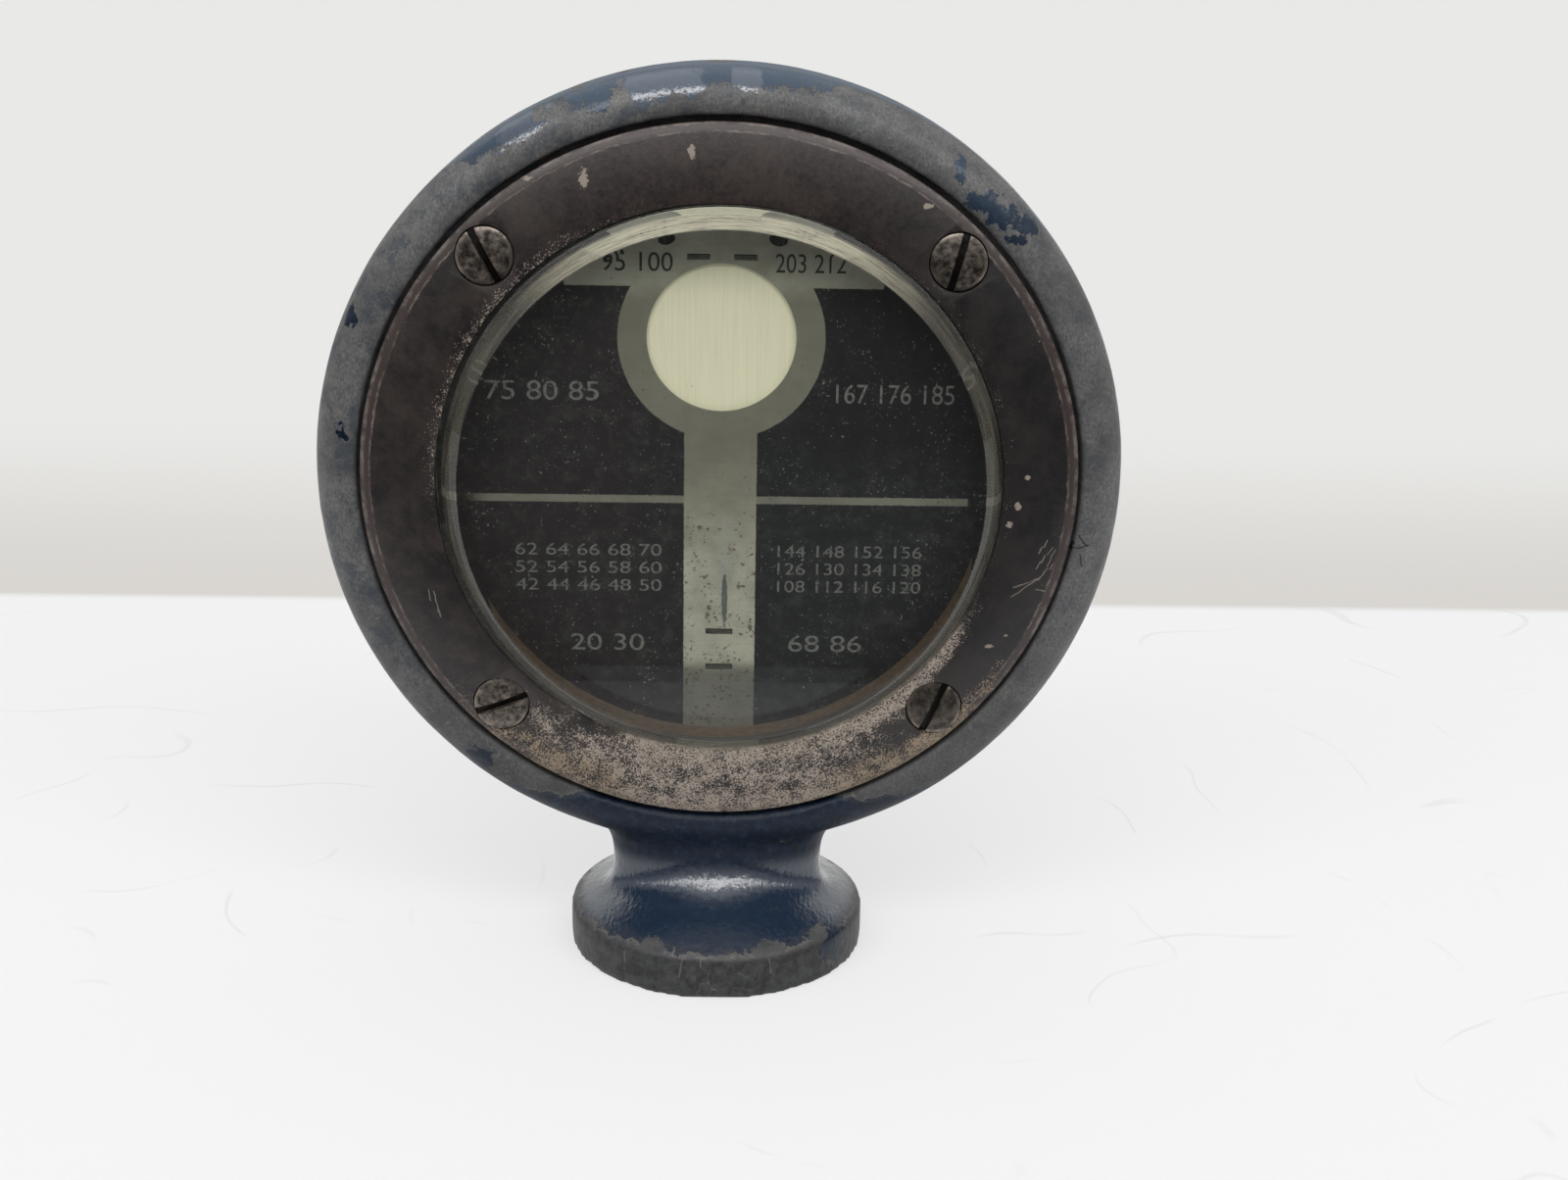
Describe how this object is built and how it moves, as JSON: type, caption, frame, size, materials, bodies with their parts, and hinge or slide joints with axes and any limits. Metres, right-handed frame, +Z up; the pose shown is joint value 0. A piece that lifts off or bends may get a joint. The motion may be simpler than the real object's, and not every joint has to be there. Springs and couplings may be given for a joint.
{
  "type": "radiator cap thermometer",
  "caption": "Round glazed thermometer on a waisted neck and threaded base, for a car's radiator cap. Its spirit column rises across a cream window in a black-panelled dial.",
  "frame": {"origin": "middle of the base's underside, where the part stands", "axes": "+Z up along the thermometer tube, -Y out of the front glass, +X to the right as seen from the front"},
  "size_m": [0.0907, 0.035, 0.1038],
  "materials": {
    "case_paint": "navy blue paint, worn to dull grey metal",
    "bezel_enamel": "dark brown-black enamel, worn to beige",
    "screw_steel": "tarnished, with bright worn edges",
    "window_glass": "clear, faintly green, with a bevelled edge",
    "gasket": "aged and dull",
    "spacer_card": "brown pressed card",
    "dial_plate": "black panels over bare grey metal",
    "spacer_metal": "dull",
    "cream_disc": "cream, faintly streaked",
    "rivet_metal": "darkened",
    "tube_glass": "clear",
    "red_spirit": "red liquid",
    "clip_steel": "darkened",
    "bush_packing": "tan packing"
  },
  "bodies": {
    "case": {"case_body": "case_paint", "bezel_ring": "bezel_enamel", "front_glass": "window_glass", "front_gasket": "gasket", "front_spacer": "spacer_card", "front_dial": "dial_plate", "dial_spacer": "spacer_metal", "rear_dial": "dial_plate", "window_disc": "cream_disc", "rear_spacer": "spacer_card", "rear_glass": "window_glass", "rear_gasket": "gasket", "dial_rivet_left": "rivet_metal", "dial_rivet_right": "rivet_metal", "rivet_sleeve_left": "spacer_metal", "rivet_sleeve_right": "spacer_metal", "thermometer_tube": "tube_glass", "spirit_reserve": "red_spirit", "upper_clip": "clip_steel", "lower_clip_1": "clip_steel", "lower_clip_2": "clip_steel", "packing_bush": "bush_packing"},
    "screw_upper_left": {"bezel_screw_1": "screw_steel"},
    "screw_upper_right": {"bezel_screw_2": "screw_steel"},
    "screw_lower_left": {"bezel_screw_3": "screw_steel"},
    "screw_lower_right": {"bezel_screw_4": "screw_steel"},
    "column": {"spirit_column": "red_spirit"}
  },
  "joints": [
    {"name": "screw_upper_left_turn", "type": "hinge", "parent": "case", "child": "screw_upper_left", "pos_m": [-0.02552, -0.006, 0.08367], "axis": [0, -1, 0], "continuous": true},
    {"name": "screw_upper_right_turn", "type": "hinge", "parent": "case", "child": "screw_upper_right", "pos_m": [0.02552, -0.006, 0.08367], "axis": [0, -1, 0], "continuous": true},
    {"name": "screw_lower_left_turn", "type": "hinge", "parent": "case", "child": "screw_lower_left", "pos_m": [-0.02471, -0.006, 0.03238], "axis": [0, -1, 0], "continuous": true},
    {"name": "screw_lower_right_turn", "type": "hinge", "parent": "case", "child": "screw_lower_right", "pos_m": [0.02471, -0.006, 0.03238], "axis": [0, -1, 0], "continuous": true},
    {"name": "column_rise", "type": "slide", "parent": "case", "child": "column", "axis": [0, 0, 1], "range_m": [0, 0.0165]}
  ]
}
